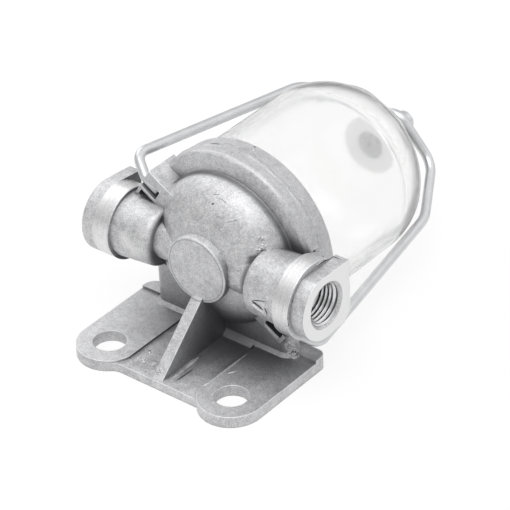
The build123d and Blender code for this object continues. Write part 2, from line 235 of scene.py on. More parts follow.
# %% [markdown]
# ## Tumbled die-cast aluminium
#
# The head is an aluminium die casting that was tumbled to take off its sharp edges. That leaves a
# grey, frosted skin with a speckle of about half a millimetre, cloudier patches over it, a few
# dark pits, and edges rubbed bright. The port collars were turned on a lathe afterwards, so they
# are brighter and carry fine rings round the port's axis, and the end of each port is ground
# flat. All of this is on one casting, so it is one material, and masks by place choose between
# the finishes. A mask is a number from 0 to 1: a map range node makes one from a distance, and
# multiplying joins two. Painting the masks as pictures would work as well, but masks made from
# the real sizes stay sharp at any distance.

# %% Where the collars and the ground ends lie
COLLAR_X = (33.45 * MM, 33.5 * MM, 39.5 * MM, 39.8 * MM)
PORTS_LOWEST_Z = (17.5 * MM, 17.6 * MM)
GROUND_DEPTH = (0.15 * MM, 0.05 * MM)

cast_aluminium, tree, shader = new_finish("die_cast_aluminium_tumbled")
place = add(tree, "TexCoord", out="Object")
axes = add(tree, "SeparateXYZ", links={"Vector": place}).node.outputs
across = add(tree, "Math", {"operation": "ABSOLUTE"}, {0: axes["X"]})
at_ports = add(
    tree,
    "MapRange",
    {"From Min": PORTS_LOWEST_Z[0], "From Max": PORTS_LOWEST_Z[1]},
    {"Value": axes["Z"]},
)
collar = between(tree, across, COLLAR_X)
collar = add(tree, "Math", {"operation": "MULTIPLY"}, {0: collar, 1: at_ports})
at_end = add(
    tree,
    "MapRange",
    {"From Min": port_end_x - GROUND_DEPTH[0], "From Max": port_end_x - GROUND_DEPTH[1]},
    {"Value": across},
)
ground_end = add(tree, "Math", {"operation": "MULTIPLY"}, {0: at_end, 1: at_ports})
machined = add(tree, "Math", {"operation": "MAXIMUM"}, {0: collar, 1: ground_end})
print("collars run from", round(COLLAR_X[1] / MM, 1), "to", round(COLLAR_X[2] / MM, 1), "mm")

# %% [markdown]
# The mould's halves met round the flange. The band in front of that line and the skirt behind it
# are duller than the flange's face. The round boss has a fine line just inside its edge, left by
# the mould's insert. Painted shade darkens the crease behind the inlet's barrel, and the dome's
# root. Each of these lies where a radius and a depth are both between known edges, so a product of
# masks finds it.

# %% Where the flange band and the skirt lie
FLANGE_BACK_Y = 37.3 * MM
LINE_HALF = 0.05 * MM
BAND_FRONT_Y = (32.2 * MM, 32.8 * MM)
RIM_R = (31.0 * MM, 31.8 * MM)

bowl_radius = distance_from(tree, place, (0, 0, -axis_z), (1, 0, 1))
at_rim = add(
    tree,
    "MapRange",
    {"From Min": RIM_R[0], "From Max": RIM_R[1]},
    {"Value": bowl_radius},
)
behind_line = add(
    tree,
    "MapRange",
    {"From Min": FLANGE_BACK_Y - LINE_HALF, "From Max": FLANGE_BACK_Y + LINE_HALF},
    {"Value": axes["Y"]},
)
skirt = add(tree, "Math", {"operation": "MULTIPLY"}, {0: at_rim, 1: behind_line})
in_band = add(
    tree,
    "MapRange",
    {"From Min": BAND_FRONT_Y[0], "From Max": BAND_FRONT_Y[1]},
    {"Value": axes["Y"]},
)
band = add(tree, "Math", {"operation": "MULTIPLY"}, {0: at_rim, 1: in_band})
band = add(tree, "Math", {"operation": "SUBTRACT"}, {0: band, 1: skirt})
print("flange's back edge at y", round(FLANGE_BACK_Y / MM, 1))

# %% Where the boss line, the crease and the dome's root lie
BOSS_LINE_R = (10.45 * MM, 10.65 * MM, 10.8 * MM, 10.95 * MM)
BOSS_FRONT_Y = (15.4 * MM, 15.6 * MM)
CREASE_X = (16.0 * MM, 17.3 * MM, 19.9 * MM, 20.7 * MM)
CREASE_R = (8.9 * MM, 9.5 * MM)
ROOT_R = (25.9 * MM, 26.2 * MM, 26.6 * MM, 26.9 * MM)
ROOT_Y = (27.0 * MM, 29.0 * MM)

boss_line = between(tree, bowl_radius, BOSS_LINE_R)
boss_front = add(
    tree,
    "MapRange",
    {"From Min": BOSS_FRONT_Y[1], "From Max": BOSS_FRONT_Y[0]},
    {"Value": axes["Y"]},
)
boss_line = add(tree, "Math", {"operation": "MULTIPLY"}, {0: boss_line, 1: boss_front})
port_radius = distance_from(tree, place, (0, -inlet_centre.y, -axis_z), (0, 1, 1))
# Painted shade: the crease behind the inlet's barrel is darkened in colour
crease = between(tree, axes["X"], CREASE_X)
near_port = add(
    tree,
    "MapRange",
    {"From Min": CREASE_R[1], "From Max": CREASE_R[0]},
    {"Value": port_radius},
)
crease = add(tree, "Math", {"operation": "MULTIPLY"}, {0: crease, 1: near_port})
# Painted shade: the dome's root is darkened in colour
root = between(tree, bowl_radius, ROOT_R)
at_root = add(
    tree,
    "MapRange",
    {"From Min": ROOT_Y[0], "From Max": ROOT_Y[1]},
    {"Value": axes["Y"]},
)
root = add(tree, "Math", {"operation": "MULTIPLY"}, {0: root, 1: at_root})
print("dome's root at radius", round(ROOT_R[1] / MM, 1))

# %% [markdown]
# The grey of the skin is a mix of three noises: a fine speckle from the tumbling stones, blotches
# of two millimetres and clouds of nine. A still finer noise paints single bright glints into the
# colour, as painted highlights. For the turned collars a noise is squeezed along the port's axis,
# so that it draws rings round it.

# %% Speckle, glints and patches
SPECKLE_MM = 0.5
GLINT_MM = 0.33
BLOTCH_MM = 2.0
CLOUD_MM = 9.0
SPECKLE_SHARE = 0.4
BLOTCH_SHARE = 0.36
CLOUD_SHARE = 0.24

speckle = add(
    tree,
    "TexNoise",
    {"Scale": 1 / (SPECKLE_MM * MM), "Detail": 2.0, "Roughness": 0.7},
    {"Vector": place},
)
# Painted glints: bright specks of light laid into the colour
glint = add(
    tree,
    "TexNoise",
    {"Scale": 1 / (GLINT_MM * MM), "Detail": 1.0},
    {"Vector": place},
)
glint = add(tree, "MapRange", {"From Min": 0.57, "From Max": 0.7}, {"Value": glint})
blotch = add(
    tree,
    "TexNoise",
    {"Scale": 1 / (BLOTCH_MM * MM), "Detail": 3.0, "Roughness": 0.65},
    {"Vector": place},
)
cloud = add(
    tree,
    "TexNoise",
    {"Scale": 1 / (CLOUD_MM * MM), "Detail": 3.0, "Roughness": 0.6},
    {"Vector": place},
)
skin_tone = add(
    tree, "Math", {"operation": "MULTIPLY", 1: SPECKLE_SHARE}, {0: speckle}
)
for patches, share in ((blotch, BLOTCH_SHARE), (cloud, CLOUD_SHARE)):
    skin_tone = add(
        tree,
        "Math",
        {"operation": "MULTIPLY_ADD", 1: share},
        {0: patches, 2: skin_tone},
    )
print("skin speckle every", SPECKLE_MM, "mm, patches every", BLOTCH_MM, "and", CLOUD_MM, "mm")

# %% Turning rings
RING_MM = 0.35
RING_LENGTH_MM = 7.0

ring_size = (RING_MM * MM, RING_LENGTH_MM * MM, RING_LENGTH_MM * MM)
ring_place = add(
    tree,
    "Mapping",
    {"Scale": tuple(1 / size for size in ring_size)},
    {"Vector": place},
)
rings = add(
    tree, "TexNoise", {"Scale": 1.0, "Detail": 4.0}, {"Vector": ring_place}
)
ring_share = add(
    tree, "MapRange", {"From Min": 0.35, "From Max": 0.65}, {"Value": blotch}
)
rings = add(
    tree,
    "Mix",
    {"data_type": "FLOAT"},
    {"Factor": ring_share, 2: rings, 3: speckle},
)
print("turning rings every", RING_MM, "mm")

# %% [markdown]
# The worst marks of the casting are placed one by one, where the photograph shows them: pits left
# by gas, a patch on the outlet's barrel that something has rubbed bright, and a painted highlight
# on the top of a lug. A little noise is added to the place first, which makes the pits ragged.
# Small dark specks lie all over, more in some parts than in others: they are the middles of the
# cells of a Voronoi texture, so a speck's reach is a share of the cells' spacing.

# %% Pits and the rubbed patch
PIT_PIXELS = ((292.6, 301.8), (240.3, 149.6), (255.4, 147.0), (232.5, 152.8))
PIT_PIXELS += ((264.5, 251.0), (288.0, 318.4), (288.6, 324.9), (212.5, 204.4))
PIT_PIXELS += ((150.0, 350.7), (141.5, 358.0), (154.5, 366.0), (146.0, 371.5))
PIT_REACH = (0.1 * MM, 0.5 * MM)
# The last pixel lies on a lug's top, where a painted highlight is laid
RUBBED_AND_LIT_PIXELS = ((124.0, 238.0), (129.0, 246.0), (134.0, 251.0), (170.0, 172.0))
RUBBED_AND_LIT_REACH = (1.0 * MM, 3.4 * MM)
RAGGED_MM = 0.9
RAGGED_REACH = 1.6 * MM

ragged = add(
    tree,
    "TexNoise",
    {"Scale": 1 / (RAGGED_MM * MM), "Detail": 3.0},
    {"Vector": place},
    out="Color",
)
ragged_place = add(
    tree,
    "VectorMath",
    {"operation": "MULTIPLY_ADD", 1: (RAGGED_REACH,) * 3},
    {0: ragged, 2: place},
)
half_ragged = Vector((0.5, 0.5, 0.5)) * RAGGED_REACH
pits = marks_near(
    tree,
    ragged_place,
    [on_casting(*pixel)[0] + half_ragged for pixel in PIT_PIXELS],
    *PIT_REACH,
)
# Real rubbed wear on the outlet's barrel, and a painted highlight on the top of a lug
rubbed_and_lit = marks_near(
    tree,
    place,
    [on_casting(*pixel)[0] for pixel in RUBBED_AND_LIT_PIXELS],
    *RUBBED_AND_LIT_REACH,
)
print(len(PIT_PIXELS), "pits placed on the casting")

# %% Specks
SPECK_SPACING_MM = 2.8
SPECK_REACH = (0.02, 0.1)

specks = add(
    tree,
    "TexVoronoi",
    {"Scale": 1 / (SPECK_SPACING_MM * MM)},
    {"Vector": place},
    out="Distance",
)
specks = add(
    tree,
    "MapRange",
    {"From Min": SPECK_REACH[1], "From Max": SPECK_REACH[0]},
    {"Value": specks},
)
speck_areas = add(
    tree, "MapRange", {"From Min": 0.47, "From Max": 0.6}, {"Value": cloud}
)
specks = add(tree, "Math", {"operation": "MULTIPLY"}, {0: specks, 1: speck_areas})
uncut = add(tree, "Math", {"operation": "SUBTRACT", 0: 1.0}, {1: machined})
specks = add(tree, "Math", {"operation": "MULTIPLY"}, {0: specks, 1: uncut})
print("specks about every", SPECK_SPACING_MM, "mm")

# %% [markdown]
# Shade gathers where little sky reaches the metal, and here it is painted into the colour. An
# ambient occlusion node measures that: with a short distance it finds creases, and with a long one,
# for the casting alone, it finds the deep hollow under the dome. A bevel node gives a normal that
# is rounded near edges, so where it differs from the true normal, on an open surface, there is an
# edge that the tumbling has rubbed bright. The dome's root is left out of that, since it is dull on
# the real casting.

# %% Hollows and worn edges
EDGE_ROUND = 0.45 * MM
OPEN_SKY_REACH = 3.0 * MM
CREVICE_REACH = 0.8 * MM
SHADE_REACH = 30.0 * MM
SKY_SAMPLES = 8

open_sky = add(
    tree, "AmbientOcclusion", {"samples": SKY_SAMPLES, "Distance": OPEN_SKY_REACH}, out="AO"
)
crevice = add(
    tree,
    "AmbientOcclusion",
    {"samples": SKY_SAMPLES, "Distance": CREVICE_REACH},
    out="AO",
)
hollow = add(
    tree,
    "AmbientOcclusion",
    {"samples": SKY_SAMPLES, "Distance": SHADE_REACH, "only_local": True},
    out="AO",
)
soft_edge = add(tree, "Bevel", {"samples": SKY_SAMPLES, "Radius": EDGE_ROUND})
true_normal = add(tree, "NewGeometry", out="Normal")
alike = add(
    tree,
    "VectorMath",
    {"operation": "DOT_PRODUCT"},
    {0: soft_edge, 1: true_normal},
    out="Value",
)
worn = add(tree, "MapRange", {"From Min": 0.99, "From Max": 0.9}, {"Value": alike})
outward = add(
    tree, "MapRange", {"From Min": 0.9, "From Max": 0.97}, {"Value": open_sky}
)
worn = add(tree, "Math", {"operation": "MULTIPLY"}, {0: worn, 1: outward})
past_root = add(tree, "Math", {"operation": "SUBTRACT", 0: 1.0}, {1: root})
worn = add(tree, "Math", {"operation": "MULTIPLY"}, {0: worn, 1: past_root})
print("edges rounded by", round(EDGE_ROUND / MM, 2), "mm")

# %% [markdown]
# The colour is built up like paint. The grey of the skin comes first, and the turned metal on the
# collars. Then each mask lays its own colour over what is there: dull metal, painted glints, rubbed
# metal with a painted highlight and ground metal, then worn edges, pits and painted shade in
# creases, and the deep shade last.

# %% Colour of the cast and the turned metal
CAST_LIGHT = "#E3E3E4"
CAST_DARK = "#B0B0B2"
TURNED_LIGHT = "#F0F0F0"
TURNED_DARK = "#C8C8CA"

tone = add(
    tree, "MapRange", {"From Min": 0.37, "From Max": 0.63}, {"Value": skin_tone}
)
colour = add(
    tree,
    "Mix",
    {"data_type": "RGBA", 6: linear(CAST_DARK), 7: linear(CAST_LIGHT)},
    {"Factor": tone},
    out=2,
)
turned_tone = add(
    tree, "MapRange", {"From Min": 0.3, "From Max": 0.7}, {"Value": rings}
)
turned_colour = add(
    tree,
    "Mix",
    {"data_type": "RGBA", 6: linear(TURNED_DARK), 7: linear(TURNED_LIGHT)},
    {"Factor": turned_tone},
    out=2,
)
colour = add(
    tree, "Mix", {"data_type": "RGBA"}, {"Factor": collar, 6: colour, 7: turned_colour}, out=2
)
print("skin from", CAST_DARK, "to", CAST_LIGHT)

# %% [markdown]
# The foot on the outlet's side lies more open to the light, so the deep shade is weaker there on
# what faces up. It is weaker too round the corner of the foot that reaches out beyond the inlet.

# %% Shares of painted shade
LIT_SIDE_X = (-14.0 * MM, 10.0 * MM)
LIT_SIDE_SHADE = 0.35
OPEN_CORNER_PIXEL = (313.0, 348.0)
OPEN_CORNER_REACH = (3.0 * MM, 9.0 * MM)

# Painted shade in creases and nooks, from the short ambient occlusion
nook_shade_share = add(
    tree, "MapRange", {"From Min": 0.6, "From Max": 0.1}, {"Value": open_sky}
)
# Painted shade in the narrowest crevices
crevice_shade_share = add(
    tree, "MapRange", {"From Min": 0.6, "From Max": 0.35}, {"Value": crevice}
)
hollow_share = add(
    tree,
    "MapRange",
    {"interpolation_type": "SMOOTHSTEP", "From Min": 0.7, "From Max": 0.36},
    {"Value": hollow},
)
lit_side = add(
    tree,
    "MapRange",
    {
        "From Min": LIT_SIDE_X[0],
        "From Max": LIT_SIDE_X[1],
        "To Min": LIT_SIDE_SHADE,
    },
    {"Value": axes["X"]},
)
facing = add(tree, "SeparateXYZ", links={"Vector": true_normal}).node.outputs
facing_up = add(
    tree, "MapRange", {"From Min": 0.3, "From Max": 0.7}, {"Value": facing["Z"]}
)
lit_side = add(
    tree, "Mix", {"data_type": "FLOAT", 2: 1.0}, {"Factor": facing_up, 3: lit_side}
)
hollow_share = add(
    tree, "Math", {"operation": "MULTIPLY"}, {0: hollow_share, 1: lit_side}
)
corner_place = on_casting(*OPEN_CORNER_PIXEL)[0]
open_corner = marks_near(tree, place, [corner_place], *OPEN_CORNER_REACH)
enclosed = add(tree, "Math", {"operation": "SUBTRACT", 0: 1.0}, {1: open_corner})
hollow_share = add(
    tree, "Math", {"operation": "MULTIPLY"}, {0: hollow_share, 1: enclosed}
)
print("open corner at", [round(v / MM, 1) for v in corner_place])

# %% Layers of colour
# Pits and the boss line are real marks; the same greys also paint shade into crevices, creases and
# the dome's root
CAST_PIT_AND_SHADE = "#5A5A5C"
CAST_SHADE_AND_LINE = "#767678"
CAST_SHADE = "#78787B"
CAST_RUBBED_AND_GLINT = "#F2F2F2"
GROUND = "#E6E6E6"

rubbed_and_lit = add(tree, "Math", {"operation": "MULTIPLY"}, {0: rubbed_and_lit, 1: speckle})
# Each layer is a mask, how much of it shows and its colour, from the lowest to the top one
# The glint layer is painted glints, the rubbed layer adds a painted highlight on a lug's top, and
# the crevice, crease, root and hollow layers are painted shade
LAYERS = (
    (band, 0.4, CAST_DARK),
    (skirt, 0.45, CAST_DARK),
    (glint, 0.5, CAST_RUBBED_AND_GLINT),
    (rubbed_and_lit, 1.0, CAST_RUBBED_AND_GLINT),
    (ground_end, 1.0, GROUND),
    (boss_line, 0.5, CAST_SHADE_AND_LINE),
    (worn, 0.9, CAST_RUBBED_AND_GLINT),
    (specks, 0.8, CAST_PIT_AND_SHADE),
    (pits, 1.0, CAST_PIT_AND_SHADE),
    (nook_shade_share, 1.0, CAST_SHADE_AND_LINE),
    (crevice_shade_share, 1.0, CAST_PIT_AND_SHADE),
    (crease, 0.75, CAST_PIT_AND_SHADE),
    (root, 0.7, CAST_SHADE_AND_LINE),
    (hollow_share, 1.0, CAST_SHADE),
)
for mask, strength, hex_colour in LAYERS:
    share = add(tree, "Math", {"operation": "MULTIPLY", 1: strength}, {0: mask})
    colour = add(
        tree,
        "Mix",
        {"data_type": "RGBA", 7: linear(hex_colour)},
        {"Factor": share, 6: colour},
        out=2,
    )
tree.links.new(colour, shader.inputs["Base Color"])
print("casting has", len(tree.nodes), "nodes")

# %% [markdown]
# Cast and tumbled aluminium is rough, and turned aluminium is less so. A bump node turns the same
# noises into fine relief, with the pits and specks sunk into it. It starts from the bevel node's
# normal, so the edges look rounded too.

# %% Gloss and relief of the casting
SKIN_RELIEF = 0.12 * MM
CAST_ROUGHNESS = (0.54, 0.64)
MACHINED_ROUGHNESS = 0.38

shader.inputs["Metallic"].default_value = 1.0
cast_rough = add(
    tree,
    "MapRange",
    {
        "From Min": 0.4,
        "From Max": 0.6,
        "To Min": CAST_ROUGHNESS[0],
        "To Max": CAST_ROUGHNESS[1],
    },
    {"Value": skin_tone},
)
rough = add(
    tree,
    "Mix",
    {"data_type": "FLOAT", 3: MACHINED_ROUGHNESS},
    {"Factor": machined, 2: cast_rough},
)
tree.links.new(rough, shader.inputs["Roughness"])
height = add(
    tree, "Mix", {"data_type": "FLOAT"}, {"Factor": machined, 2: skin_tone, 3: rings}
)
sunk = add(tree, "Math", {"operation": "MAXIMUM"}, {0: pits, 1: specks})
height = add(tree, "Math", {"operation": "SUBTRACT"}, {0: height, 1: sunk})
skin_normal = add(
    tree,
    "Bump",
    {"Strength": 0.9, "Distance": SKIN_RELIEF},
    {"Height": height, "Normal": soft_edge},
)
tree.links.new(skin_normal, shader.inputs["Normal"])
print("cast roughness", CAST_ROUGHNESS, "machined", MACHINED_ROUGHNESS)

# %% [markdown]
# Small raised marks need the same metal without its wide soft edges and its deep shade, or they
# drown in them. A copy of the material with shorter distances gives that. The shade at a groove's
# bottom is painted as a plain dark material of its own.

# %% The same metal for small crisp marks
CRISP_EDGE = 0.03 * MM
CRISP_REACH = 0.3 * MM

crisp_aluminium = cast_aluminium.copy()
crisp_aluminium.name = "die_cast_aluminium_crisp"
crisp_tree = crisp_aluminium.node_tree
crisp_tree.nodes["Bevel"].inputs["Radius"].default_value = CRISP_EDGE
for node in crisp_tree.nodes:
    if node.type == "AMBIENT_OCCLUSION":
        node.inputs["Distance"].default_value = CRISP_REACH
print("crisp edges", round(CRISP_EDGE / MM, 2), "mm")

# %% Painted shade in the grooves
GROOVE_MOTTLE_MM = 0.6
GROOVE_SHADE_DARK = "#3C3C3E"
GROOVE_SHADE_LIGHT = "#6E6E70"

# Painted shade: a dark grey laid on as flat bands where grooves and scratches lie in shade
groove_shade, tree, shader = new_finish("painted_groove_shade")
place = add(tree, "TexCoord", out="Object")
groove_mottle = add(
    tree, "TexNoise", {"Scale": 1 / (GROOVE_MOTTLE_MM * MM), "Detail": 3.0}, {"Vector": place}
)
colour = add(
    tree,
    "Mix",
    {"data_type": "RGBA", 6: linear(GROOVE_SHADE_DARK), 7: linear(GROOVE_SHADE_LIGHT)},
    {"Factor": groove_mottle},
    out=2,
)
tree.links.new(colour, shader.inputs["Base Color"])
shader.inputs["Metallic"].default_value = 1.0
shader.inputs["Roughness"].default_value = 0.8

# %% [markdown]
# ## Clear moulded bowl
#
# The bowl is clear, and slightly milky all through, so what is behind it shows only faintly. Most
# of the light goes straight on, and the rest is scattered by the body of the material. A slow
# waviness of the moulded wall breaks up its reflections. Glass has an IOR of about 1.5, but that
# draws the rim and the end of the bowl darker than the real one's, so it is lowered until they
# are as pale.

# %% Bowl glass
WAVE_MM = 14.0
WAVE_RELIEF = 0.3 * MM

bowl_glass, tree, shader = new_finish("clear_moulded_glass")
shader.inputs["Base Color"].default_value = linear("#FFFFFF")
shader.inputs["Roughness"].default_value = 0.12
shader.inputs["IOR"].default_value = 1.32
shader.inputs["Transmission Weight"].default_value = 0.94
place = add(tree, "TexCoord", out="Object")
waves = add(
    tree,
    "TexNoise",
    {"Scale": 1 / (WAVE_MM * MM), "Detail": 1.0},
    {"Vector": place},
)
wavy = add(tree, "Bump", {"Strength": 0.3, "Distance": WAVE_RELIEF}, {"Height": waves})
tree.links.new(wavy, shader.inputs["Normal"])

# %% [markdown]
# ## Bright zinc plate
#
# The bail, the stud, the cup and the nut are steel with a bright zinc plate: a smooth, pale metal
# with soft reflections, a faint haze and fine scuffs. The cup is painted darker in a ring round
# the riveted foot of the stud, and that ring shows through the bowl.

# %% Zinc-plated steel
HAZE_MM = 4.0
SCUFF_MM = 0.7
SCUFF_SHARE = 0.4
ZINC_DARK = "#BFC0C2"
ZINC_LIGHT = "#E2E3E4"

zinc_steel, tree, shader = new_finish("bright_zinc_plated_steel")
place = add(tree, "TexCoord", out="Object")
haze = add(
    tree,
    "TexNoise",
    {"Scale": 1 / (HAZE_MM * MM), "Detail": 2.0},
    {"Vector": place},
)
scuffs = add(
    tree,
    "TexNoise",
    {"Scale": 1 / (SCUFF_MM * MM), "Detail": 3.0},
    {"Vector": place},
)
haze = add(tree, "Mix", {"data_type": "FLOAT", 0: SCUFF_SHARE}, {2: haze, 3: scuffs})
colour = add(
    tree,
    "Mix",
    {"data_type": "RGBA", 6: linear(ZINC_DARK), 7: linear(ZINC_LIGHT)},
    {"Factor": haze},
    out=2,
)
tree.links.new(colour, shader.inputs["Base Color"])
shader.inputs["Metallic"].default_value = 1.0
rough = add(tree, "MapRange", {"To Min": 0.34, "To Max": 0.46}, {"Value": haze})
tree.links.new(rough, shader.inputs["Roughness"])

# %% The pressed cup
DARK_RING_R = (3.0 * MM, 4.2 * MM, 4.2 * MM, 5.6 * MM)
CUP_BRIGHT = "#FAFAFB"
CUP_RING_DARK = "#B6B7BA"

cup_steel, tree, shader = new_finish("zinc_plated_pressing")
place = add(tree, "TexCoord", out="Object")
# The ring round the stud's foot is only painted darker in colour
ring = between(
    tree, distance_from(tree, place, (0, 0, -axis_z), (1, 0, 1)), DARK_RING_R
)
colour = add(
    tree,
    "Mix",
    {"data_type": "RGBA", 6: linear(CUP_BRIGHT), 7: linear(CUP_RING_DARK)},
    {"Factor": ring},
    out=2,
)
tree.links.new(colour, shader.inputs["Base Color"])
shader.inputs["Metallic"].default_value = 1.0
shader.inputs["Roughness"].default_value = 0.25

# %% [markdown]
# ## The pieces inside
#
# The gasket is a moulded rubber ring with a pale bloom. The strainer is brass: a stamped frame,
# and a gauze woven from fine wire. The gauze's mesh of about 0.2 mm is drawn at 0.6 mm, so that
# it shows.

# %% Gasket rubber
BLOOM_MM = 1.5
RUBBER_BLACK = "#202020"
RUBBER_BLOOM = "#363636"

gasket_rubber, tree, shader = new_finish("moulded_rubber")
shader.inputs["Roughness"].default_value = 0.7
place = add(tree, "TexCoord", out="Object")
bloom = add(
    tree, "TexNoise", {"Scale": 1 / (BLOOM_MM * MM), "Detail": 3.0}, {"Vector": place}
)
colour = add(
    tree,
    "Mix",
    {"data_type": "RGBA", 6: linear(RUBBER_BLACK), 7: linear(RUBBER_BLOOM)},
    {"Factor": bloom},
    out=2,
)
tree.links.new(colour, shader.inputs["Base Color"])

# %% Stamped brass
TARNISH_MM = 5.0
BRASS_DULL = "#B99A58"
BRASS_BRIGHT = "#DCC48A"

stamped_brass, tree, shader = new_finish("stamped_brass")
shader.inputs["Metallic"].default_value = 1.0
shader.inputs["Roughness"].default_value = 0.4
place = add(tree, "TexCoord", out="Object")
tarnish = add(
    tree, "TexNoise", {"Scale": 1 / (TARNISH_MM * MM), "Detail": 4.0}, {"Vector": place}
)
colour = add(
    tree,
    "Mix",
    {"data_type": "RGBA", 6: linear(BRASS_DULL), 7: linear(BRASS_BRIGHT)},
    {"Factor": tarnish},
    out=2,
)
tree.links.new(colour, shader.inputs["Base Color"])

# %% Woven gauze
# At scale 1, a wave texture's bands lie 2 pi / 20 of a unit apart
BAND_SPACING = 0.314
MESH_MM = 0.6
WEAVE_RELIEF = 0.15 * MM
# Painted shade: the gaps between the wires are painted dark
GAUZE_GAP_SHADE = "#5E4C26"

brass_gauze, tree, shader = new_finish("woven_brass_gauze")
shader.inputs["Metallic"].default_value = 1.0
shader.inputs["Roughness"].default_value = 0.45
place = add(tree, "TexCoord", out="Object")
warp = add(
    tree,
    "TexWave",
    {"bands_direction": "X", "Scale": BAND_SPACING / (MESH_MM * MM), "Distortion": 0.0},
    {"Vector": place},
    out="Fac",
)
weft = add(
    tree,
    "TexWave",
    {"bands_direction": "Z", "Scale": BAND_SPACING / (MESH_MM * MM), "Distortion": 0.0},
    {"Vector": place},
    out="Fac",
)
wires = add(tree, "Math", {"operation": "MAXIMUM"}, {0: warp, 1: weft})
wire_share = add(tree, "MapRange", {"From Min": 0.3, "From Max": 0.8}, {"Value": wires})
colour = add(
    tree,
    "Mix",
    {"data_type": "RGBA", 6: linear(GAUZE_GAP_SHADE), 7: linear(BRASS_BRIGHT)},
    {"Factor": wire_share},
    out=2,
)
tree.links.new(colour, shader.inputs["Base Color"])
woven = add(tree, "Bump", {"Strength": 0.8, "Distance": WEAVE_RELIEF}, {"Height": wires})
tree.links.new(woven, shader.inputs["Normal"])

# %% Give each CAD node its finish
finish_of_node = {
    "head_casting": cast_aluminium,
    "bowl_gasket": gasket_rubber,
    "strainer_frame": stamped_brass,
    "strainer_gauze": brass_gauze,
    "glass_bowl": bowl_glass,
    "bail_wire": zinc_steel,
    "clamp_stud": zinc_steel,
    "pressure_cup": cup_steel,
    "thumb_nut": zinc_steel,
}
for name, finish in finish_of_node.items():
    node = frame["nodes"][name]
    node.data.materials.clear()
    node.data.materials.append(finish)
    print(name, "is", finish.name)

# %% [markdown]
# ## Making new pieces
#
# Every added piece is a mesh built from a list of corners and a list of faces. One function turns
# those lists into a piece with its finish, and joins it to the body that it moves with. Round
# forms are shaded smooth; chiselled and torn ones keep flat faces, which catch the light.


# %% A piece from corners and faces
def make_piece(name, corners, faces, finish, body, smooth=True):
    """Builds a mesh piece, gives it its finish, and lets it ride on a body."""
    mesh = bpy.data.meshes.new(name)
    mesh.from_pydata(corners, [], faces)
    build = bmesh.new()
    build.from_mesh(mesh)
    bmesh.ops.recalc_face_normals(build, faces=build.faces)
    build.to_mesh(mesh)
    build.free()
    mesh.materials.append(finish)
    if smooth:
        mesh.shade_smooth()
    piece = bpy.data.objects.new(name, mesh)
    bpy.context.scene.collection.objects.link(piece)
    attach(piece, body)
    print(name, "has", len(faces), "faces")
    return piece


def strip_faces(rows, columns, closed):
    """Gives the faces between rows of corners; closed joins each row's end to its start."""
    spans = columns if closed else columns - 1
    return [
        (
            row * columns + column,
            row * columns + (column + 1) % columns,
            (row + 1) * columns + (column + 1) % columns,
            (row + 1) * columns + column,
        )
        for row in range(rows - 1)
        for column in range(spans)
    ]


# %% [markdown]
# ## Port threads
#
# Both ports are tapped for a pipe union with an M14 thread of 1.5 mm pitch. The CAD bore is
# smooth at the thread's outer diameter, so the thread is a ridge that winds down it: its profile,
# a blunt triangle whose flanks stand at 60 degrees to each other, is carried round a helix. The
# ridge grows out of the wall where the tap started, and runs out again at the bottom. Cutting the
# thread out of the solid would give the same look for many more faces.

# %% Tapped aluminium
CHATTER_MM = 0.8

tapped_aluminium, tree, shader = new_finish("tapped_aluminium")
place = add(tree, "TexCoord", out="Object")
chatter = add(
    tree, "TexNoise", {"Scale": 1 / (CHATTER_MM * MM), "Detail": 2.0}, {"Vector": place}
)
colour = add(
    tree,
    "Mix",
    {"data_type": "RGBA", 6: linear(TURNED_DARK), 7: linear(TURNED_LIGHT)},
    {"Factor": chatter},
    out=2,
)
tree.links.new(colour, shader.inputs["Base Color"])
shader.inputs["Metallic"].default_value = 1.0
shader.inputs["Roughness"].default_value = 0.3

# %% Threads in the two ports
PITCH = 1.5 * MM
RIDGE = 0.81 * MM
CREST = 0.12 * MM
FLANK = radians(30)
THREAD_TURNS = 7.4
STEPS_A_TURN = 40
GROWTH_A_TURN = 3.0
RUN_OUT_A_TURN = 1.5
FIRST_DEPTH = 0.9 * MM
SUNK = 0.04 * MM


def thread_ridge(name, centre, side):
    """Winds a right-hand thread ridge into a port whose mouth faces along X times side."""
    steps = int(THREAD_TURNS * STEPS_A_TURN)
    root_half = CREST + (RIDGE + SUNK) * tan(FLANK)
    corners = []
    for step in range(steps + 1):
        turned = 2 * pi * step / STEPS_A_TURN
        depth = FIRST_DEPTH + PITCH * step / STEPS_A_TURN
        grown = min(
            1.0,
            GROWTH_A_TURN * step / STEPS_A_TURN,
            RUN_OUT_A_TURN * (steps - step) / STEPS_A_TURN,
        )
        crest_r = thread_r + SUNK - (RIDGE + SUNK) * grown
        for radius, along in (
            (thread_r + SUNK, -root_half),
            (crest_r, -CREST),
            (crest_r, CREST),
            (thread_r + SUNK, root_half),
        ):
            corners.append(
                (
                    side * (port_end_x - depth - along * grown),
                    centre.y + radius * cos(turned),
                    centre.z - side * radius * sin(turned),
                )
            )
    faces = strip_faces(steps + 1, 4, closed=False)
    return make_piece(name, corners, faces, tapped_aluminium, "head")


thread_ridge("inlet_thread", inlet_centre, 1)
thread_ridge("outlet_thread", outlet_centre, -1)

# %% [markdown]
# ## Raised lines and grooves
#
# The flow arrow on the inlet's barrel points into the head. It was cut in the mould with a
# chisel, so it is an outline of sharp lips round a groove in shade. The casting carries more such
# lines: lips along the foot's front edge and pads and at the pocket beside the inlet, and
# scratches on the dome, the foot and the flange. All of them follow the surface, so one function
# lays a narrow ridge along a line of pixels: two slopes that meet in a crest and thin out at both
# ends. A groove is not cut: it is a flat dark band of painted shade that lies on the metal, which
# at this size looks the same.

# %% Ridges along lines of pixels
STEPS_A_RUN = 8
END_THICKNESS = 0.2
SWELL = 4
GROOVE = 0.02
EDGE_SUNK = -0.02


